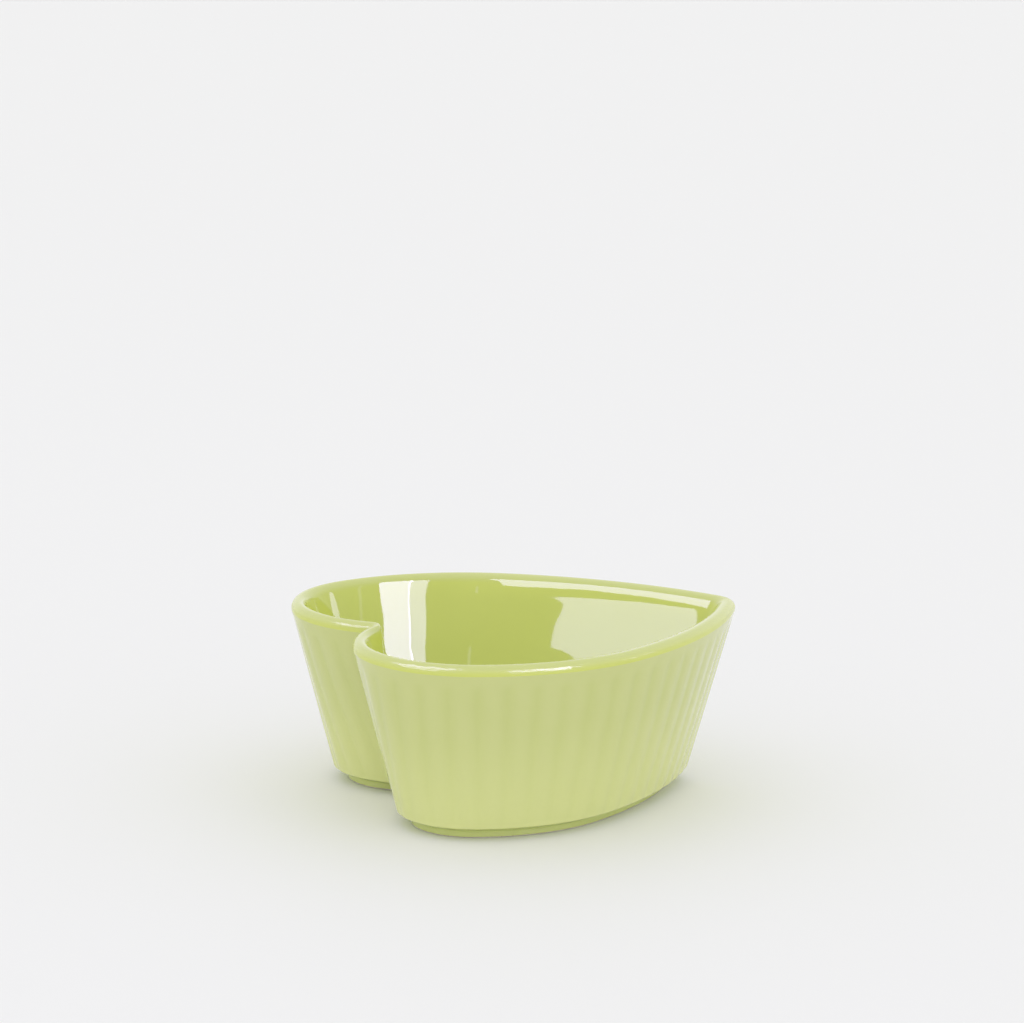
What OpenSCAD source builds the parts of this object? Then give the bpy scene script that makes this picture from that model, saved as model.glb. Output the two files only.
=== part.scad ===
// Heart-shaped dip dish in glazed stoneware.
// One fired clay body carries four glaze coats; only the foot ring's resting face is bare.
// The heart lies along X with its tip at +X and its cleft at -X, and stands on Z = 0.

/* [Outline] */
// Length over the rim, from the tip to the backs of the lobes
dish_length = 120; // [108:1:150]
// Radius of the tip, as a share of the length
tip_share = 0.07; // [0.05:0.005:0.12]
// Radius of the long side next to the tip, as a share of the length
side_share = 1.07; // [0.9:0.01:1.3]
// Radius of the shoulder between side and lobe, as a share of the length
shoulder_share = 0.51; // [0.45:0.01:0.56]
// Radius inside the cleft, as a share of the length
cleft_share = 0.009; // [0.005:0.001:0.03]
// Tip radius that is left low down on the wall
tip_low = 2.5; // [1.5:0.1:5]

/* [Wall and lip] */
// Height from the table to the top of the lip
dish_height = 50.7; // [40:0.1:56]
// Slope of the wall away from upright, in degrees
wall_draft = 15; // [8:0.5:18]
// Outer radius of the round lip
lip_out_r = 2.2; // [1.8:0.1:3]
// Inner radius of the round lip
lip_in_r = 3.2; // [2.4:0.1:3.6]
// Radius of the slow curve from the lip down to the inside wall
throat_r = 22; // [12:1:24]
// Radius of the bowed part of the inside wall
bowl_r = 110; // [100:5:200]
// Share of the lip's inner rounding that is left out round the lobes
lobe_lip = 0.35; // [0:0.05:0.6]
// Share of the slow curve below it that is left out round the lobes
lobe_throat = 0.9; // [0:0.05:0.95]
// Number of flutes round the outside
flutes = 47; // [31:2:55]
// Depth of the grooves between the flutes
groove_depth = 0.25; // [0:0.05:0.6]
// Height below the top of the lip at which the flutes fade out
lip_band = 4.2; // [3.5:0.1:8]

/* [Floor and foot] */
// Height of the inside floor above the table
floor_z = 5.6; // [5:0.1:9]
// Radius between the inside wall and the floor
floor_fillet = 8; // [4:0.5:8]
// Height of the wall's lower edge above the table
edge_z = 3.3; // [2.6:0.1:5]
// Radius on the wall's lower edge
edge_r = 0.9; // [0.5:0.1:2]
// Inset of the foot ring from the wall's lower edge
ledge = 3.3; // [2:0.1:5]
// Width of the foot ring
foot_w = 3.4; // [2.5:0.1:5]
// Depth of the hollow underneath, inside the foot ring
recess = 1.7; // [1:0.1:2]

/* [Glaze] */
// Thickness of each glaze coat
glaze = 0.35; // [0.25:0.05:0.5]

/* [Hidden] */
clay_tan = [0.86, 0.80, 0.68];
glaze_inside = [0.73, 0.77, 0.43];
glaze_outside = [0.77, 0.79, 0.53];
glaze_foot = [0.66, 0.70, 0.42];
glaze_base = [0.70, 0.74, 0.44];

// Direction of the outline's outward normal where one arc meets the next
side_from = 30;
shoulder_from = 60;
lobe_from = 108;
cleft_from = 231;
half_turn = 180;
steps_per_flute = 4;
half_steps = flutes * steps_per_flute / 2;
cleft_in = 4.2;
cleft_out = 1.5;
ring_steps = 2 * half_steps;

function toward(a) = [cos(a), sin(a)];
function rise(a, b) = sin(b) - sin(a);

// The lobe's radius is the one that brings the cleft back to the middle line
lobe_share = -(tip_share * rise(0, side_from) + side_share * rise(side_from, shoulder_from)
    + shoulder_share * rise(shoulder_from, lobe_from) + cleft_share * sin(cleft_from))
    / rise(lobe_from, cleft_from);

// Arc centres for a heart whose tip is at the origin, then brought to the real length
tip_c = [-tip_share, 0];
side_c = tip_c + (tip_share - side_share) * toward(side_from);
shoulder_c = side_c + (side_share - shoulder_share) * toward(shoulder_from);
lobe_c = shoulder_c + (shoulder_share - lobe_share) * toward(lobe_from);
cleft_c = lobe_c + (lobe_share + cleft_share) * toward(cleft_from);
raw_length = lobe_share - lobe_c[0];
grow = dish_length / raw_length;
middle = [-raw_length / 2, 0];

tip_r = grow * tip_share;
side_r = grow * side_share;
shoulder_r = grow * shoulder_share;
lobe_r = grow * lobe_share;
cleft_r = grow * cleft_share;
side_at = grow * (side_c - middle);
shoulder_at = grow * (shoulder_c - middle);
lobe_at = grow * (lobe_c - middle);
cleft_at = grow * (cleft_c - middle);

// The outline moved inwards by d: every arc keeps its centre, and the tip stays rounded
function tip_radius(d) = tip_low + (tip_r - tip_low) * exp(-d / (tip_r - tip_low));
function tip_reach(d) = side_r - d - tip_radius(d);
function side_start(d) = asin(-side_at[1] / tip_reach(d));
function tip_at(d) = [side_at[0] + tip_reach(d) * cos(side_start(d)), 0];

function radian(a) = a * PI / half_turn;
function arc_lengths(d) = [
    tip_radius(d) * radian(side_start(d)),
    (side_r - d) * radian(shoulder_from - side_start(d)),
    (shoulder_r - d) * radian(lobe_from - shoulder_from),
    (lobe_r - d) * radian(cleft_from - lobe_from),
    (cleft_r + d) * radian(cleft_from - half_turn)];
function sum_to(v, n) = n == 0 ? 0 : v[n - 1] + sum_to(v, n - 1);
function arc_holding(v, s, n) = (n == len(v) - 1 || s <= sum_to(v, n + 1)) ? n : arc_holding(v, s, n + 1);

// Direction of the normal at a length into one arc
function turned(start, length, radius) = start + length / radian(radius);

// Point of one arc, with its outward normal
function arc_point(c, r, a) = [c + r * toward(a), toward(a)];
function point_on(k, s, d) =
    k == 0 ? arc_point(tip_at(d), tip_radius(d), turned(0, s, tip_radius(d))) :
    k == 1 ? arc_point(side_at, side_r - d, turned(side_start(d), s, side_r - d)) :
    k == 2 ? arc_point(shoulder_at, shoulder_r - d, turned(shoulder_from, s, shoulder_r - d)) :
    k == 3 ? arc_point(lobe_at, lobe_r - d, turned(lobe_from, s, lobe_r - d)) :
    let (a = turned(cleft_from, -s, cleft_r + d)) [cleft_at - (cleft_r + d) * toward(a), toward(a)];

// The share t runs from 0 at the tip to 1 in the cleft, at equal lengths along the outline
function half_point(t, d) =
    let (v = arc_lengths(d), s = t * sum_to(v, len(v)), k = arc_holding(v, s, 0))
    point_on(k, s - sum_to(v, k), d);

// Grooves are at every whole flute; a rib bulges between them as a parabola
function groove(j) = let (u = abs((j % steps_per_flute) / steps_per_flute * 2 - 1)) groove_depth * u * u;

// The surface stands forward a little round the lobes, and more in the cleft
function smooth(x, lo, hi) = let (t = min(max((x - lo) / (hi - lo), 0), 1)) t * t * (3 - 2 * t);
function forward(t, p) = let (near = smooth(t, 0.88, 0.985))
    p[4] * smooth(t, 0.34, 0.58) * (1 - near) + p[5] * near;

// One ring: [inset from the rim, height, profile normal, share of groove, forward at lobes, at cleft]
function ring(p) = [for (j = [0 : ring_steps - 1])
    let (k = j <= half_steps ? j : ring_steps - j)
    let (at = half_point(k / half_steps, p[0]))
    let (q = at[0] + (forward(k / half_steps, p) - groove(k) * p[3]) * at[1])
    [q[0], j <= half_steps ? q[1] : -q[1], p[1]]];

function on_slope(d, z) = min((dish_height - z) * tan(wall_draft), d);
function beyond(d, z) = min(max(d - on_slope(d, z) - lip_out_r, 0), 4);
// A row of the outside, with its share of groove, and a row of the inside
function out_row(d, z, a, share) = [d, z, a, share, 0, min(0.75 * on_slope(d, z), cleft_out)];
function in_row(d, z, a) = let (b = beyond(d, z), lip = lip_in_r * 0.73)
    [d, z, a, 0, lobe_lip * min(b, lip) + lobe_throat * max(b - lip, 0),
        min(0.75 * (on_slope(d, z) + b), cleft_out + (cleft_in - cleft_out) * min(b, 1))];

// The same ring, moved into the wall by the thickness of the glaze
function under(p) = [p[0] + glaze * cos(p[2]), p[1] - glaze * sin(p[2]), p[2], p[3], p[4], p[5]];
function under_all(v) = [for (p = v) under(p)];
function reversed(v) = [for (i = [len(v) - 1 : -1 : 0]) v[i]];

// Profile of the wall
lip_out = -wall_draft;
throat_from = 150;
wall_in = half_turn - wall_draft;
function lip_d(a) = lip_out_r - (a < 90 ? lip_out_r : lip_in_r) * cos(a);
function lip_z(a) = dish_height - (a < 90 ? lip_out_r : lip_in_r) * (1 - sin(a));
function lip_ring(a) = a < 90 ? out_row(lip_d(a), lip_z(a), a, 0) : in_row(lip_d(a), lip_z(a), a);
function outer_d(z) = lip_d(lip_out) + (lip_z(lip_out) - z) * tan(wall_draft);

throat_d = lip_d(throat_from) + throat_r * cos(throat_from);
throat_z = lip_z(throat_from) - throat_r * sin(throat_from);
bowl_z = throat_z + throat_r * sin(wall_in);
bowl_d = throat_d - throat_r * cos(wall_in);
bowl_to = 30;
steep = atan(tan(wall_draft) + (bowl_z - bowl_to) / bowl_r);
low_d = bowl_d + (bowl_z - bowl_to) * tan(wall_draft) + (bowl_z - bowl_to) ^ 2 / (2 * bowl_r);

edge_c = [outer_d(edge_z + edge_r - edge_r * sin(wall_draft)) + edge_r * cos(wall_draft), edge_z + edge_r];
function edge_ring(a, share) = out_row(edge_c[0] - edge_r * cos(a), edge_c[1] + edge_r * sin(a), a, share);

fillet_z = floor_z + floor_fillet;
fillet_d = low_d + (bowl_to - fillet_z + floor_fillet * sin(steep)) * tan(steep) + floor_fillet * cos(steep);
function fillet_ring(a) = in_row(fillet_d + floor_fillet * cos(a), fillet_z - floor_fillet * sin(a), a);

foot_d = edge_c[0] + ledge;
foot_low = 0.35;
foot_high = edge_z - 1.2;
foot_bevel = 0.7;
bare_to = 0.5;
ledge_slope = -70;
wall_mid = 24;
flute_top = dish_height - lip_band;

// Glazed faces, each as a run of rings
outer_face = [
    edge_ring(-90, 0),
    edge_ring(-50, 0.5),
    edge_ring(lip_out, 1),
    out_row(outer_d(wall_mid), wall_mid, lip_out, 1),
    out_row(outer_d(flute_top), flute_top, lip_out, 0.6),
    lip_ring(lip_out)];
liner_face = [
    for (a = [lip_out, 37, 90, 120, throat_from]) lip_ring(a),
    in_row(bowl_d, bowl_z, wall_in),
    in_row(low_d, bowl_to, half_turn - steep)];
floor_face = [for (a = [half_turn - steep, 124, 90]) fillet_ring(a)];
foot_face = [
    out_row(foot_d, foot_low, 0, 0),
    out_row(foot_d, foot_high, ledge_slope / 2, 0),
    edge_ring(-90, 0)];
base_face = [
    out_row(foot_d + foot_w, bare_to, half_turn, 0),
    out_row(foot_d + foot_w + foot_bevel, recess, -110, 0)];

// Bare clay between the two glaze lines: the ring's bevels and its resting face
rest_face = [
    out_row(foot_d + foot_w - foot_bevel, 0, -90, 0),
    out_row(foot_d + foot_bevel, 0, -90, 0)];

// Rings to a closed solid: flat caps at both ends, or the last ring joined to the first
module solid_of(profile, capped) {
    rows = len(profile);
    points = [for (p = profile) each ring(p)];
    joins = capped ? rows - 1 : rows;
    sides = [for (i = [0 : joins - 1]) for (j = [0 : ring_steps - 1])
        let (a = i * ring_steps, b = ((i + 1) % rows) * ring_steps, n = (j + 1) % ring_steps)
        each [[a + j, b + j, b + n], [a + j, b + n, a + n]]];
    first_cap = [for (j = [0 : ring_steps - 1]) j];
    last_cap = [for (j = [ring_steps - 1 : -1 : 0]) (rows - 1) * ring_steps + j];
    polyhedron(points, capped ? concat(sides, [first_cap, last_cap]) : sides, convexity = 6);
}

// Fired clay: floor, sloping fluted wall, round lip and foot ring
module clay_body() {
    color(clay_tan)
    solid_of(concat(
        reversed(under_all(base_face)),
        rest_face,
        under_all(foot_face),
        [for (i = [1 : len(outer_face) - 1]) under(outer_face[i])],
        [for (i = [1 : len(liner_face) - 1]) under(liner_face[i])],
        under_all(floor_face)), true);
}

// Glaze inside the dish and over its lip
module liner_glaze() {
    face = concat(liner_face, floor_face);
    color(glaze_inside)
    solid_of(concat(reversed(under_all(face)), face), true);
}

// Glaze on the fluted outside, from the lip band to the wall's lower edge
module outer_glaze() {
    color(glaze_outside)
    solid_of(concat(outer_face, reversed(under_all(outer_face))), false);
}

// Glaze under the ledge and down the side of the foot ring
module foot_glaze() {
    color(glaze_foot)
    solid_of(concat(foot_face, reversed(under_all(foot_face))), false);
}

// Glaze in the hollow underneath, inside the foot ring
module base_glaze() {
    color(glaze_base)
    solid_of(concat(reversed(base_face), under_all(base_face)), true);
}

clay_body();
liner_glaze();
outer_glaze();
foot_glaze();
base_glaze();
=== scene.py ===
import math

import bpy
import numpy as np
from mathutils import Matrix, Quaternion, Vector


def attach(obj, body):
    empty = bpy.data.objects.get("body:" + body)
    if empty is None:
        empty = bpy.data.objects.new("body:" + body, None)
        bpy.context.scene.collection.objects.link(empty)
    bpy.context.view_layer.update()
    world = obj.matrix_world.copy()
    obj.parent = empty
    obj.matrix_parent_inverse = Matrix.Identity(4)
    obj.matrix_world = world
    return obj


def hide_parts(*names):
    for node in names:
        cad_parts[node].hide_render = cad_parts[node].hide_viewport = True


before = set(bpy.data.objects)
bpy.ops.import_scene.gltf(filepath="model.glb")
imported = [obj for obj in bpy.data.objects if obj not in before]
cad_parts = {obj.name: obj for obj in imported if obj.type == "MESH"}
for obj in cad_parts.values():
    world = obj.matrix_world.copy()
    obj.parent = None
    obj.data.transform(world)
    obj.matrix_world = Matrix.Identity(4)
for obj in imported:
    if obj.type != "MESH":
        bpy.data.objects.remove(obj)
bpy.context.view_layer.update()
mm = 0.001
deg = math.pi / 180
bumpDistance = 0.0001       # m, for every bump node
print("frame loaded")


outline = {
    "length": 119.8,        # mm, tip to lobe backs
    "tip": 0.07,            # radii as shares of the length
    "side": 1.07,
    "shoulder": 0.51,
    "cleft": 0.009,
    "joins": (30, 60, 108, 231),  # normal directions where one arc meets the next
    "tipLow": 2.5,          # mm, tip radius that is left low down
    "lobeLip": 0.35,        # how much of the lip's inner rounding goes round the lobes
    "lobeThroat": 0.9,      # and of the slow curve below it
    "lobeFrom": (0.34, 0.58),    # shares of the way round over which that comes in
    "lipShare": 0.73,       # share of the lip's inner radius that counts as the lip
    "innerMost": 4.0,       # mm, the part of the inside that all this applies to
    "cleftIn": 4.2,         # mm, the most that the inside stands forward in the cleft
    "cleftOut": 1.5,        # mm, and the outside
    "cleftShare": 0.75,     # how much of the way in is taken back in the cleft
    "cleftFrom": (0.88, 0.985),  # shares of the way round over which it comes in
    "halfRound": 165,       # mm, from tip to cleft
    "sharpFrom": 50 * deg,
}


def toward(a):
    # unit vectors (cos a, sin a)
    return np.stack([np.cos(a), np.sin(a)], -1)


def heartArcs(o):
    # chain of arcs that touch, from the tip to the cleft: each centre lies on the line from the last one
    # to the join, and the lobe's radius is the one that ends the chain on the middle line
    a = np.radians([0, *o["joins"]])
    s = np.sin(a)
    lobe = -(o["tip"] * (s[1] - s[0]) + o["side"] * (s[2] - s[1]) + o["shoulder"] * (s[3] - s[2])
             + o["cleft"] * s[4]) / (s[4] - s[3])
    radii = np.array([o["tip"], o["side"], o["shoulder"], lobe, o["cleft"]])
    centres = [np.array([-o["tip"], 0.0])]
    for k in range(3):
        centres.append(centres[k] + (radii[k] - radii[k + 1]) * toward(a[k + 1]))
    centres.append(centres[3] + (radii[3] + radii[4]) * toward(a[4]))
    rawLength = lobe - centres[3][0]
    grow = o["length"] / rawLength
    middle = np.array([-rawLength / 2, 0.0])
    return {"angles": a, "radii": radii * grow, "centres": (np.array(centres) - middle) * grow,
            "tipLow": o["tipLow"]}


arcs = heartArcs(outline)


def heartRings(share, inset):
    # share runs 0..1 from tip to cleft at equal lengths, and inset moves the outline inwards;
    # point = centre of its arc + (radius - inset) * direction
    a, r, c = arcs["angles"], arcs["radii"], arcs["centres"]
    d = np.asarray(inset, float)[:, None]
    soft = r[0] - arcs["tipLow"]
    tipR = arcs["tipLow"] + soft * np.exp(-d / soft)
    reach = r[1] - d - tipR
    sideFrom = np.arcsin(-c[1][1] / reach)
    tipC = np.concatenate([c[1][0] + reach * np.cos(sideFrom), np.zeros_like(reach)], 1)
    radius = np.concatenate([tipR, r[1] - d, r[2] - d, r[3] - d, r[4] + d], 1)
    start = np.concatenate([0 * d, sideFrom, a[2] + 0 * d, a[3] + 0 * d, a[4] + 0 * d], 1)
    stop = np.concatenate([sideFrom, a[2] + 0 * d, a[3] + 0 * d, a[4] + 0 * d, math.pi + 0 * d], 1)
    lengths = radius * np.abs(stop - start)
    ends = np.cumsum(lengths, 1)
    s = share[None, :] * ends[:, -1:]
    k = (s[:, :, None] > ends[:, None, :4]).sum(2)
    rows = np.arange(len(d))[:, None]
    into = s - np.where(k > 0, ends[rows, np.maximum(k - 1, 0)], 0)
    bend = np.where(k == 4, -1.0, 1.0)
    angle = start[rows, k] + bend * into / radius[rows, k]
    normal = toward(angle)
    centre = np.asarray(c)[k]
    centre = np.where((k == 0)[:, :, None], tipC[:, None, :], centre)
    point = centre + (bend * radius[rows, k])[:, :, None] * normal
    return point, normal


profile = {
    "height": 50.7,
    "draft": 15 * deg,
    "lipOutR": 2.2,         # outer rounding of the lip
    "lipInR": 3.2,          # inner rounding of the lip
    "lipInTo": 150,         # direction it turns to before the slower curve below it
    "throatR": 22.0,
    "bowlTo": 30.0,         # the inside curves in down to this height and is straight below it
    "bowlR": 110.0,
    "floorZ": 5.6,
    "floorFillet": 8.0,
    "edgeZ": 3.3,           # lower edge of the outside wall
    "edgeR": 0.9,
    "ledge": 3.3,           # step in from there to the foot ring
    "footHigh": 2.1,
    "footLow": 0.35,
    "footCove": 0.5,
    "footW": 3.4,
    "footBevel": 0.7,
    "recess": 1.7,
    "bareTo": 0.5,          # height of bare clay inside the foot ring
    "restR": 0.35,
    "glaze": 0.35,
}


def arcOf(d, z, radius, a0, a1, n):
    # n points on an arc whose outward direction turns from a0 to a1
    a = np.radians(np.linspace(a0, a1, n))
    return np.stack([d - radius * np.cos(a), z + radius * np.sin(a)], 1)


def lineOf(p, q, n):
    # n points strictly between p and q
    t = np.linspace(0, 1, n + 2)[1:-1, None]
    return p * (1 - t) + q * t


def dishProfile(p):
    # runs of [inset from the rim, height], from the foot round the lip to the middle of the floor
    slope = math.tan(p["draft"])
    tilt = p["draft"] / deg
    lipR = p["lipOutR"]
    lipOut = arcOf(lipR, p["height"] - lipR, lipR, -tilt, 90, 17)

    edgeTop = p["edgeZ"] + p["edgeR"] * (1 - math.sin(p["draft"]))
    edgeD = lipOut[0, 0] + (lipOut[0, 1] - edgeTop) * slope + p["edgeR"] * math.cos(p["draft"])
    edge = arcOf(edgeD, p["edgeZ"] + p["edgeR"], p["edgeR"], -90, -tilt, 9)
    outer = np.concatenate([edge, lineOf(edge[-1], lipOut[0], 45), lipOut[:1]])

    lipIn = arcOf(lipR, p["height"] - p["lipInR"], p["lipInR"], 90, p["lipInTo"], 13)[1:]
    throatD = lipIn[-1, 0] + p["throatR"] * math.cos(p["lipInTo"] * deg)
    throatZ = lipIn[-1, 1] - p["throatR"] * math.sin(p["lipInTo"] * deg)
    throat = arcOf(throatD, throatZ, p["throatR"], p["lipInTo"], 180 - tilt, 9)[1:]
    lipIn = np.concatenate([lipIn, throat])
    bowlFrom = lipIn[-1, 1]
    turn = (bowlFrom - p["bowlTo"]) / p["bowlR"]
    steep = math.atan(slope + turn)
    filletZ = p["floorZ"] + p["floorFillet"] * (1 - math.sin(steep))
    z = np.linspace(bowlFrom, filletZ, 30)
    bow = np.clip(bowlFrom - z, 0, bowlFrom - p["bowlTo"])
    bowed = bow ** 2 / (2 * p["bowlR"]) + np.maximum(p["bowlTo"] - z, 0) * turn
    keep = np.stack([lipIn[-1, 0] + (bowlFrom - z) * slope + bowed, z], 1)
    r = p["floorFillet"]
    filletD = keep[-1, 0] + r * math.cos(steep)
    fillet = arcOf(filletD, p["floorZ"] + r, -r, 180 - steep / deg, 90, 13)[1:]
    liner = np.concatenate([lipOut, lipIn, keep[1:], fillet])

    footD = edgeD + p["ledge"]
    cove = arcOf(footD - p["footCove"], p["footHigh"] - p["footCove"], -p["footCove"], 0, -70, 6)
    foot = np.concatenate([[[footD, p["footLow"]]], lineOf(np.array([footD, p["footLow"]]), cove[0], 2),
                           cove, lineOf(cove[-1], edge[0], 3), edge[:1]])
    innerD = footD + p["footW"]
    bevel, g = p["footBevel"], p["glaze"]
    base = np.concatenate([arcOf(innerD + bevel, p["recess"] - bevel, -bevel, -90, -180, 7),
                           [[innerD, p["bareTo"]]]])
    rest = np.concatenate([arcOf(innerD - g - p["bareTo"], p["bareTo"], p["bareTo"], -180, -90, 6)[1:],
                           arcOf(footD + g + p["restR"], p["restR"], p["restR"], -90, 0, 6)[:-1]])
    return {"base": base, "rest": rest, "foot": foot, "outer": outer, "liner": liner}


def withNormals(name, run):
    # adds three columns: the outward direction, across the profile's own tangent, and how far the point
    # stands forward round the lobes and in the cleft, as shares of its way in from the slope
    step = np.gradient(run, axis=0)
    onSlope = np.minimum((profile["height"] - run[:, 1]) * math.tan(profile["draft"]), run[:, 0])
    inner = np.clip(run[:, 0] - onSlope - profile["lipOutR"], 0, outline["innerMost"]) * (name == "liner")
    most = outline["cleftOut"] + (outline["cleftIn"] - outline["cleftOut"]) * np.clip(inner, 0, 1)
    lip = profile["lipInR"] * outline["lipShare"]
    lobe = outline["lobeLip"] * np.minimum(inner, lip)
    lobe = lobe + outline["lobeThroat"] * np.maximum(inner - lip, 0)
    cleft = np.minimum(outline["cleftShare"] * (onSlope + inner), most)
    return np.column_stack([run, np.arctan2(step[:, 0], step[:, 1]), lobe, cleft])


def under(rows):
    # the same rows moved down into the wall by the thickness of the glaze
    g = profile["glaze"]
    d = rows[:, 0] + g * np.cos(rows[:, 2])
    z = rows[:, 1] - g * np.sin(rows[:, 2])
    return np.column_stack([d, z, rows[:, 2:]])


rows = {name: withNormals(name, run) for name, run in dishProfile(profile).items()}
print("profile laid out")

flutes = {
    "count": 47,
    "perFlute": 12,        # points round each flute
    "depth": 0.22,         # mm
    "soft": 0.16,          # roundness at the bottom of a groove
    "top": 46.3,           # height at which they end, below the plain band
    "fade": 3.2,           # over which they fade in
    "wallTurn": (-80 * deg, -20 * deg),  # directions over which they grow out of the lower edge
    "neck": 0.08,          # shallow dip between band and ribs
    "neckBelow": 0.4,
    "neckHalf": 0.9,
    "pool": 0.6,           # how much darker the glaze is at the bottom of a groove
}
halfSteps = flutes["count"] * flutes["perFlute"] // 2
halfShare = np.linspace(0, 1, halfSteps + 1)


def smooth(x, lo, hi):
    # 0 below lo, 1 above hi, and 3t^2 - 2t^3 between them
    t = np.clip((x - lo) / (hi - lo), 0, 1)
    return t * t * (3 - 2 * t)


def grooveAt(share):
    # 1 at the bottom of a groove, falling as a parabola to 0 on the middle of each rib
    u = share * flutes["count"] / 2
    v = 2 * np.abs(u - np.round(u))
    e = flutes["soft"]
    w = (np.sqrt(v * v + e * e) - e) / (math.sqrt(1 + e * e) - e)
    return (1 - w) ** 2


def fluteWeight(run):
    # 1 on the wall, falling to 0 round the lower edge and at the plain band
    onWall = smooth(run[:, 2], *flutes["wallTurn"])
    return (1 - smooth(run[:, 1], flutes["top"] - flutes["fade"], flutes["top"])) * onWall


def neckDip(run):
    # a shallow hollow round the wall where the ribs end: depth * exp(-t^2), t the height from its middle
    t = (run[:, 1] - flutes["top"] + flutes["neckBelow"]) / flutes["neckHalf"]
    return flutes["neck"] * np.exp(-t * t)


def surfacePoints(run, weight, dip):
    # in mm: the outline moved in by each row's inset, then out again round the lobes and in the cleft,
    # then cut back along the normal by groove and dip
    p2, n2 = heartRings(halfShare, run[:, 0])
    lobe = smooth(halfShare, *outline["lobeFrom"])
    near = smooth(halfShare, *outline["cleftFrom"])
    ease = run[:, 3:4] * lobe * (1 - near) + run[:, 4:5] * near
    p2 = p2 + ease[..., None] * n2
    cut = flutes["depth"] * grooveAt(halfShare)[None, :] * weight[:, None] + dip[:, None]
    a = run[:, 2][:, None]
    x = p2[..., 0] - cut * n2[..., 0] * np.cos(a)
    y = p2[..., 1] - cut * n2[..., 1] * np.cos(a)
    z = run[:, 1][:, None] - cut * np.sin(a)
    half = np.stack([x, y, z], -1)
    return np.concatenate([half, half[:, -2:0:-1] * [1, -1, 1]], 1)


def buildPiece(name, run, weight, dip, masks, capped):
    # rings joined into quads; both ends are closed with a fan, or else the last ring joins the first
    pts = surfacePoints(run, weight, dip)
    m, n = pts.shape[:2]
    co = pts.reshape(-1, 3) * mm
    j = np.arange(n)
    i = np.arange(m - 1 if capped else m)[:, None]
    a, b = i * n + j, ((i + 1) % m) * n + j
    quads = np.stack([a, np.roll(a, -1, 1), np.roll(b, -1, 1), b], -1).reshape(-1, 4)
    loops, sizes = quads.ravel(), np.full(len(quads), 4)
    if capped:
        co = np.concatenate([co, pts[[0, -1]].mean(1) * mm])
        first = np.stack([np.full(n, m * n), np.roll(j, -1), j], 1)
        last = np.stack([np.full(n, m * n + 1), j + (m - 1) * n, np.roll(j, -1) + (m - 1) * n], 1)
        loops = np.concatenate([loops, first.ravel(), last.ravel()])
        sizes = np.concatenate([sizes, np.full(2 * n, 3)])
    me = bpy.data.meshes.new(name)
    me.vertices.add(len(co))
    me.vertices.foreach_set("co", co.ravel())
    me.loops.add(len(loops))
    me.loops.foreach_set("vertex_index", loops)
    me.polygons.add(len(sizes))
    me.polygons.foreach_set("loop_start", np.concatenate([[0], np.cumsum(sizes)[:-1]]))
    me.polygons.foreach_set("use_smooth", np.ones(len(sizes), bool))
    me.update(calc_edges=True)
    # lengths round the outline and along the profile, for marks that run round the dish
    along = np.concatenate([[0], np.cumsum(np.hypot(*np.diff(run[:, :2], axis=0).T))])
    roundShare = np.concatenate([halfShare, 2 - halfShare[-2:0:-1]])
    roundLength = roundShare * outline["halfRound"]
    flow = np.stack(np.broadcast_arrays(roundLength[None, :], along[:, None], 0), -1).reshape(-1, 3)
    if capped:
        flow = np.concatenate([flow, flow[[0, -1]]])
    flowed = me.attributes.new("flow", "FLOAT_VECTOR", "POINT")
    flowed.data.foreach_set("vector", flow.astype(np.float32).ravel())
    groove = np.concatenate([grooveAt(halfShare), grooveAt(halfShare)[-2:0:-1]])
    for key, perRow in masks.items():
        value = np.repeat(perRow, n)
        if key == "pool":
            value = value + flutes["pool"] * (weight[:, None] * groove[None, :]).ravel()
        if capped:
            value = np.concatenate([value, [perRow[0], perRow[-1]]])
        me.attributes.new(key, "FLOAT", "POINT").data.foreach_set("value", np.clip(value, 0, 1))
    me.set_sharp_from_angle(angle=outline["sharpFrom"])
    piece = bpy.data.objects.new(name, me)
    bpy.context.scene.collection.objects.link(piece)
    return piece


def none(run):
    # 0 for every row
    return np.zeros(len(run))


def coat(name, run, masks, ends):
    # a closed shell: the face you see, and the same face moved down onto the clay
    fluted = name == "outerGlaze"
    weight = fluteWeight(run) if fluted else none(run)
    dip = neckDip(run) if fluted else none(run)

    def pair(seen, hidden):
        if ends == "floor":
            return np.concatenate([hidden[::-1], seen])
        return np.concatenate([seen, hidden[::-1]])

    full = {k: pair(v, v) for k, v in masks.items()}
    both = [pair(v, v) for v in (weight, dip)]
    return buildPiece(name, pair(run, under(run)), *both, full, ends is not None)


# where each coat is thin, pooled or rippled, and where light is painted on the outside wall, in mm of
# height or of inset from the rim
marks = {
    "lipThin": (2.4, 0.6),       # below the top of the lip
    "lipRipple": (0.02, 0.1),
    "lipRippleEnd": (1.6, 2.8),
    "floorPool": 7.0,            # above the floor
    # painted light: the outside wall is made paler towards the bottom and paler still round its lower
    # edge, standing in for light thrown up from the floor
    "wallPaintedLight": (2, 38),
    "wallPaintedLightShare": 0.75,
    "edgePaintedLight": (3.4, 4.6),
    "footPool": (1.2, 2.4),
}
liner, outer, foot, base = (rows[k] for k in ("liner", "outer", "foot", "base"))
top, floorZ = profile["height"], profile["floorZ"]
inside = liner[:, 2] > 1
linerMarks = {
    "thinAndLit": smooth(liner[:, 1], top - marks["lipThin"][0], top - marks["lipThin"][1]),
    "ripple": smooth(liner[:, 0], *marks["lipRipple"]) * (1 - smooth(liner[:, 0], *marks["lipRippleEnd"])),
    "pool": (1 - smooth(liner[:, 1], floorZ, floorZ + marks["floorPool"])) * inside,
}
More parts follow.
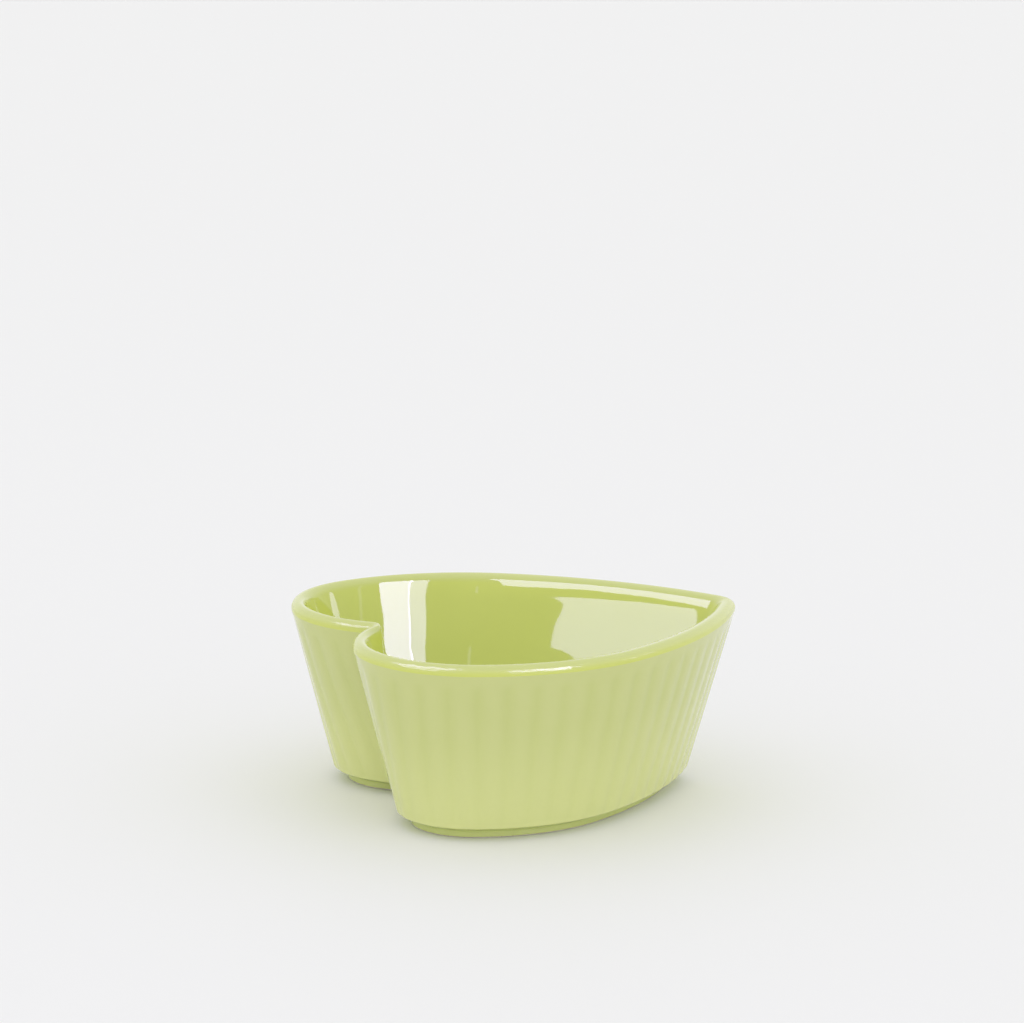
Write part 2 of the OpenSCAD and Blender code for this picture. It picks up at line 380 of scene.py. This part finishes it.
# painted light from the floor: the outside wall paler towards the bottom, most of it spread up the wall
# and the rest round the lower edge
wallPaintedLight = marks["wallPaintedLightShare"] * (1 - smooth(outer[:, 1], *marks["wallPaintedLight"]))
edgePaintedLight = (1 - marks["wallPaintedLightShare"]) * (1 - smooth(outer[:, 1], *marks["edgePaintedLight"]))
linerGlaze = coat("linerGlaze", liner, linerMarks, "floor")
outerGlaze = coat("outerGlaze", outer, {"thinAndLit": wallPaintedLight + edgePaintedLight, "pool": none(outer)}, None)
footPool = smooth(foot[:, 1], *marks["footPool"])
footGlaze = coat("footGlaze", foot, {"thinAndLit": none(foot), "pool": footPool}, None)
baseGlaze = coat("baseGlaze", base, {"thinAndLit": none(base), "pool": none(base)}, "underside")

clay = np.concatenate([under(base), rows["rest"], under(foot), under(outer)[1:], under(liner)[1:]])
below, above = np.zeros(len(base) + len(rows["rest"]) + len(foot)), none(liner)[1:]
clayWeight = np.concatenate([below, fluteWeight(outer)[1:], above])
clayDip = np.concatenate([below, neckDip(outer)[1:], above])
clayBody = buildPiece("clayBody", clay, clayWeight, clayDip, {"thinAndLit": none(clay)}, True)
print("coats and clay built")


def newMaterial(name):
    # a material with nothing in it but a shader
    mat = bpy.data.materials.new(name)
    mat.use_nodes = True
    nodes, links = mat.node_tree.nodes, mat.node_tree.links
    nodes.clear()
    out = nodes.new("ShaderNodeOutputMaterial")
    shader = nodes.new("ShaderNodeBsdfPrincipled")
    links.new(shader.outputs["BSDF"], out.inputs["Surface"])
    return mat, nodes, links, shader


def groupOf(name, inputs, outputs):
    # a shader node group with named sockets
    tree = bpy.data.node_groups.new(name, "ShaderNodeTree")
    for label, kind, value in inputs:
        socket = tree.interface.new_socket(name=label, in_out="INPUT", socket_type=kind)
        socket.default_value = value
    for label, kind in outputs:
        tree.interface.new_socket(name=label, in_out="OUTPUT", socket_type=kind)
    return tree, tree.nodes.new("NodeGroupInput"), tree.nodes.new("NodeGroupOutput")


def noiseNode(tree, vector, scale, detail, rough=0.5):
    n = tree.nodes.new("ShaderNodeTexNoise")
    n.inputs["Scale"].default_value = scale
    n.inputs["Detail"].default_value = detail
    n.inputs["Roughness"].default_value = rough
    tree.links.new(vector, n.inputs["Vector"])
    return n.outputs["Fac"]


def rangeNode(tree, value, lo, hi, toLo=0.0, toHi=1.0):
    # value eased from toLo to toHi between lo and hi
    n = tree.nodes.new("ShaderNodeMapRange")
    n.interpolation_type = "SMOOTHSTEP"
    for key, v in (("From Min", lo), ("From Max", hi), ("To Min", toLo), ("To Max", toHi)):
        n.inputs[key].default_value = v
    tree.links.new(value, n.inputs["Value"])
    return n.outputs["Result"]


def mathNode(tree, how, a, b):
    # a and b are numbers or sockets
    n = tree.nodes.new("ShaderNodeMath")
    n.operation = how
    for i, v in enumerate((a, b)):
        if isinstance(v, (int, float)):
            n.inputs[i].default_value = v
        else:
            tree.links.new(v, n.inputs[i])
    return n.outputs[0]


def mixNode(tree, fac, a, b):
    # colour a turning into colour b; the three sockets are this node's own for colours
    n = tree.nodes.new("ShaderNodeMix")
    n.data_type = "RGBA"
    for key, v in ((0, fac), (6, a), (7, b)):
        if isinstance(v, (int, float, tuple)):
            n.inputs[key].default_value = v
        else:
            tree.links.new(v, n.inputs[key])
    return n.outputs[2]


# glaze: deeper in colour where it pools, paler where it is thin and where painted light from the floor
# falls on the outside wall, with faint clouding and pinpricks
glazeDetail = {
    "cloud": 55.0,          # noise scales
    "grain": 900.0,
    "prick": 2600.0,
    "peel": 260.0,
    "swell": 70.0,
    "cloudEdges": (0.35, 0.65),
    "prickEdges": (0.74, 0.80),
    "grainRange": (0.2, 0.6, 0.93, 1.0),
    "cloudDull": 0.02,      # roughness added
    "rippleDull": 0.09,
    "swellHigh": 2.5,       # heights, as shares of the bump's distance
    "peelHigh": 0.06,
    "prickHigh": -0.03,
    "rippleHigh": 1.7,
    "rippleScale": (0.55, 2.6, 1),  # per mm round the dish and down the profile
}
gd = glazeDetail
glazeGroup, gin, gout = groupOf("glazeFlow", [
    ("Colour", "NodeSocketColor", (0.5, 0.5, 0.1, 1)),
    ("Pooled", "NodeSocketColor", (0.4, 0.4, 0.1, 1)),
    ("Thin And Lit", "NodeSocketColor", (0.6, 0.6, 0.3, 1)),
    ("Pool Mask", "NodeSocketFloat", 0.0),
    ("Thin And Lit Mask", "NodeSocketFloat", 0.0),
    ("Clouding", "NodeSocketFloat", 0.3),
    ("Gloss", "NodeSocketFloat", 0.06),
    ("Flow", "NodeSocketVector", (0, 0, 0)),
    ("Ripple Mask", "NodeSocketFloat", 0.0),
], [("Colour", "NodeSocketColor"), ("Roughness", "NodeSocketFloat"), ("Height", "NodeSocketFloat")])
given = gin.outputs
where = glazeGroup.nodes.new("ShaderNodeTexCoord").outputs["Object"]
cloud = rangeNode(glazeGroup, noiseNode(glazeGroup, where, gd["cloud"], 3.0), *gd["cloudEdges"])
grain = rangeNode(glazeGroup, noiseNode(glazeGroup, where, gd["grain"], 2.0), *gd["grainRange"])
prick = rangeNode(glazeGroup, noiseNode(glazeGroup, where, gd["prick"], 1.0), *gd["prickEdges"])
peel = noiseNode(glazeGroup, where, gd["peel"], 2.0)
swell = noiseNode(glazeGroup, where, gd["swell"], 1.0)

clouded = mathNode(glazeGroup, "MULTIPLY", cloud, given["Clouding"])
pooled = mathNode(glazeGroup, "ADD", given["Pool Mask"], clouded)
deep = mixNode(glazeGroup, pooled, given["Colour"], given["Pooled"])
# paler where the glaze is thin on the lip, and where light from the floor is painted on the outside wall
thinnedAndLit = mathNode(glazeGroup, "MULTIPLY", given["Thin And Lit Mask"], grain)
colour = mixNode(glazeGroup, thinnedAndLit, deep, given["Thin And Lit"])
glazeGroup.links.new(colour, gout.inputs["Colour"])

rough = given["Gloss"]
for marked, amount in ((cloud, "cloudDull"), (given["Ripple Mask"], "rippleDull")):
    rough = mathNode(glazeGroup, "ADD", rough, mathNode(glazeGroup, "MULTIPLY", marked, gd[amount]))
glazeGroup.links.new(rough, gout.inputs["Roughness"])

stretch = glazeGroup.nodes.new("ShaderNodeVectorMath")
stretch.operation = "MULTIPLY"
stretch.inputs[1].default_value = gd["rippleScale"]
glazeGroup.links.new(given["Flow"], stretch.inputs[0])
ripple = noiseNode(glazeGroup, stretch.outputs["Vector"], 1.0, 1.0)
ripple = mathNode(glazeGroup, "MULTIPLY", ripple, given["Ripple Mask"])
height = mathNode(glazeGroup, "MULTIPLY", swell, gd["swellHigh"])
for marked, amount in ((peel, "peelHigh"), (prick, "prickHigh"), (ripple, "rippleHigh")):
    height = mathNode(glazeGroup, "ADD", height, mathNode(glazeGroup, "MULTIPLY", marked, gd[amount]))
glazeGroup.links.new(height, gout.inputs["Height"])


def glazeMaterial(name, s):
    # the group's colour, roughness and height on a glossy shader, with the piece's own masks
    mat, nodes, links, shader = newMaterial(name)
    flow = nodes.new("ShaderNodeGroup")
    flow.node_tree = glazeGroup
    for key in ("Colour", "Pooled", "Thin And Lit"):
        flow.inputs[key].default_value = (*s[key], 1)
    flow.inputs["Clouding"].default_value = s["clouding"]
    flow.inputs["Gloss"].default_value = s["gloss"]
    for key, socket, kind in (("pool", "Pool Mask", "Fac"), ("thinAndLit", "Thin And Lit Mask", "Fac"),
                              ("ripple", "Ripple Mask", "Fac"), ("flow", "Flow", "Vector")):
        mask = nodes.new("ShaderNodeAttribute")
        mask.attribute_name = key
        links.new(mask.outputs[kind], flow.inputs[socket])
    bump = nodes.new("ShaderNodeBump")
    bump.inputs["Strength"].default_value = s["bump"]
    bump.inputs["Distance"].default_value = bumpDistance
    links.new(flow.outputs["Height"], bump.inputs["Height"])
    links.new(flow.outputs["Colour"], shader.inputs["Base Color"])
    links.new(flow.outputs["Roughness"], shader.inputs["Roughness"])
    links.new(bump.outputs["Normal"], shader.inputs["Normal"])
    shader.inputs["IOR"].default_value = s["ior"]
    return mat


finishes = {
    "linerGlaze": {
        "Colour": (0.61, 0.665, 0.142), "Pooled": (0.575, 0.63, 0.112), "Thin And Lit": (0.59, 0.635, 0.23),
        "clouding": 0.25, "gloss": 0.03, "bump": 0.5, "ior": 1.6},
    # the outside's paler colour is painted light from the floor on the lower wall
    "outerGlaze": {
        "Colour": (0.575, 0.615, 0.24), "Pooled": (0.535, 0.585, 0.20), "Thin And Lit": (0.69, 0.73, 0.295),
        "clouding": 0.25, "gloss": 0.10, "bump": 0.5, "ior": 1.52},
    "footGlaze": {
        "Colour": (0.60, 0.66, 0.22), "Pooled": (0.54, 0.61, 0.19), "Thin And Lit": (0.68, 0.74, 0.28),
        "clouding": 0.25, "gloss": 0.05, "bump": 0.5, "ior": 1.6},
    "baseGlaze": {
        "Colour": (0.47, 0.53, 0.12), "Pooled": (0.42, 0.49, 0.09), "Thin And Lit": (0.55, 0.60, 0.2),
        "clouding": 0.4, "gloss": 0.08, "bump": 0.6, "ior": 1.6},
}
for piece in (linerGlaze, outerGlaze, footGlaze, baseGlaze):
    piece.data.materials.append(glazeMaterial(piece.name + "Finish", finishes[piece.name]))

clayFinish = {
    "tones": ((0.74, 0.68, 0.52, 1), (0.80, 0.75, 0.60, 1)),
    "speck": (0.42, 0.30, 0.18, 1),
    "toneScale": 90.0,
    "speckScale": 1100.0,
    "gritScale": 1500.0,
    "bump": 0.6,
}
clayMat, clayNodes, clayLinks, clayShader = newMaterial("bareClay")
clayTree = clayMat.node_tree
at = clayNodes.new("ShaderNodeTexCoord").outputs["Object"]
grit = noiseNode(clayTree, at, clayFinish["gritScale"], 4.0, 0.7)
speck = rangeNode(clayTree, noiseNode(clayTree, at, clayFinish["speckScale"], 1.0), 0.66, 0.74)
patches = rangeNode(clayTree, noiseNode(clayTree, at, clayFinish["toneScale"], 3.0), 0.3, 0.7)
tone = mixNode(clayTree, patches, *clayFinish["tones"])
clayLinks.new(mixNode(clayTree, speck, tone, clayFinish["speck"]), clayShader.inputs["Base Color"])
clayLinks.new(rangeNode(clayTree, grit, 0.3, 0.7, 0.75, 0.95), clayShader.inputs["Roughness"])
clayBump = clayNodes.new("ShaderNodeBump")
clayBump.inputs["Strength"].default_value = clayFinish["bump"]
clayBump.inputs["Distance"].default_value = bumpDistance
clayLinks.new(grit, clayBump.inputs["Height"])
clayLinks.new(clayBump.outputs["Normal"], clayShader.inputs["Normal"])
clayBody.data.materials.append(clayMat)
print("finishes made")

standsFor = (
    (clayBody, "clay_body", "bare_clay"),
    (linerGlaze, "liner_glaze", "inside_glaze"),
    (outerGlaze, "outer_glaze", "outside_glaze"),
    (footGlaze, "foot_glaze", "foot_glaze"),
    (baseGlaze, "base_glaze", "base_glaze"),
)
for piece, node, slot in standsFor:
    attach(piece, "root")
    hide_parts(node)

stage = {
    "floor": 12.0,
    "floorColour": (0.85, 0.85, 0.85),
    "horizon": (1.12, 1.12, 1.12),
    "overhead": (1.0, 1.0, 1.0),
}
grid = np.linspace(-stage["floor"] / 2, stage["floor"] / 2, 2)
fx, fy = np.meshgrid(grid, grid)
floorMesh = bpy.data.meshes.new("floor")
floorPoints = np.stack([fx.ravel(), fy.ravel(), 0 * fx.ravel()], 1)
floorMesh.from_pydata(floorPoints.tolist(), [], [(0, 1, 3, 2)])
floorMesh.update()
floor = bpy.data.objects.new("floor", floorMesh)
bpy.context.scene.collection.objects.link(floor)
floorMat, floorNodes, floorLinks, floorShader = newMaterial("paleFloor")
floorShader.inputs["Base Color"].default_value = (*stage["floorColour"], 1)
floorShader.inputs["Roughness"].default_value = 0.7
floorMesh.materials.append(floorMat)

world = bpy.data.worlds.new("studio")
world.use_nodes = True
tree = world.node_tree
across = tree.nodes.new("ShaderNodeSeparateXYZ")
tree.links.new(tree.nodes.new("ShaderNodeTexCoord").outputs["Generated"], across.inputs[0])
rise = rangeNode(tree, across.outputs["Z"], 0.0, 0.7)
skyMix = mixNode(tree, rise, (*stage["horizon"], 1), (*stage["overhead"], 1))
tree.links.new(skyMix, tree.nodes["Background"].inputs["Color"])
bpy.context.scene.world = world


def outward(azimuth, elevation):
    # unit vector from the dish: azimuth from -Y towards +X, elevation above the floor
    a, e = azimuth * deg, elevation * deg
    return Vector((math.sin(a) * math.cos(e), -math.cos(a) * math.cos(e), math.sin(e)))


def softbox(name, s):
    # a rectangle that fills a range of directions as seen from the dish, and only shows as a reflection
    a, e = np.mean(s["azimuth"]), np.mean(s["elevation"])
    light = bpy.data.lights.new(name, "AREA")
    light.shape = "RECTANGLE"
    wide, high = np.ptp(s["azimuth"]), np.ptp(s["elevation"])
    light.size = 2 * s["away"] * math.tan(wide / 2 * deg) * math.cos(e * deg)
    light.size_y = 2 * s["away"] * math.tan(high / 2 * deg)
    light.energy = s["glow"] * light.size * light.size_y * math.pi
    light.color = s["colour"]
    lamp = bpy.data.objects.new(name, light)
    bpy.context.scene.collection.objects.link(lamp)
    lamp.location = Vector((0, 0, s["middle"])) + outward(a, e) * s["away"]
    turned = outward(a, e).to_track_quat("Z", "Y") @ Quaternion((0, 0, 1), s["roll"] * deg)
    lamp.rotation_mode = "QUATERNION"
    lamp.rotation_quaternion = turned
    lamp.visible_camera = False
    lamp.visible_diffuse = False
    return lamp


boxes = {"away": 1.6, "middle": 0.04, "colour": (0.66, 0.58, 1.0)}  # m, for all of them
softboxes = {
    "tallBox": {"azimuth": (12, 35), "elevation": (1, 37), "glow": 11.8, "roll": -4},
    "tallBoxDim": {"azimuth": (0.5, 12), "elevation": (1, 37), "glow": 7.6, "roll": -4},
    "seam": {"azimuth": (12, 13), "elevation": (1, 33), "glow": 10, "roll": 0, "away": 1.55},
    "wideBox": {"azimuth": (-94, -55), "elevation": (11, 28), "glow": 5.8, "roll": 0},
    "highBox": {"azimuth": (-116, -45), "elevation": (37, 60), "glow": 7.6, "roll": 18},
    "sideBox": {"azimuth": (64, 84), "elevation": (3, 9), "glow": 4, "roll": 20},
    "thinLeft": {"azimuth": (47, 49), "elevation": (2, 24), "glow": 1.0, "roll": 0},
    "thinRight": {"azimuth": (-31, -29.5), "elevation": (26, 34), "glow": 1.5, "roll": 0},
}
for name, s in softboxes.items():
    softbox(name, {**boxes, **s})

view = {
    "azimuth": -21.39,
    "elevation": 11.43,
    "roll": 0.67,
    "away": 1.2552,
    "at": (-0.00678, 0, 0.07932),
    "focal": 161.38,
}
back = outward(view["azimuth"], view["elevation"])
right = Vector((0, 0, 1)).cross(back).normalized()
up = back.cross(right)
c, s = math.cos(view["roll"] * deg), math.sin(view["roll"] * deg)
lens = bpy.data.cameras.new("camera")
lens.lens = view["focal"]
lens.sensor_width = 36
lens.sensor_fit = "HORIZONTAL"
lens.clip_start, lens.clip_end = 0.01, 50
camera = bpy.data.objects.new("camera", lens)
bpy.context.scene.collection.objects.link(camera)
rightTurned, upTurned = right * c + up * s, up * c - right * s
turn = np.array([rightTurned, upTurned, back]).T
stand = Matrix.Translation(Vector(view["at"]) + back * view["away"])
camera.matrix_world = stand @ Matrix(turn.tolist()).to_4x4()
bpy.context.scene.camera = camera
bpy.context.scene.view_settings.view_transform = "Standard"
print("stage set")
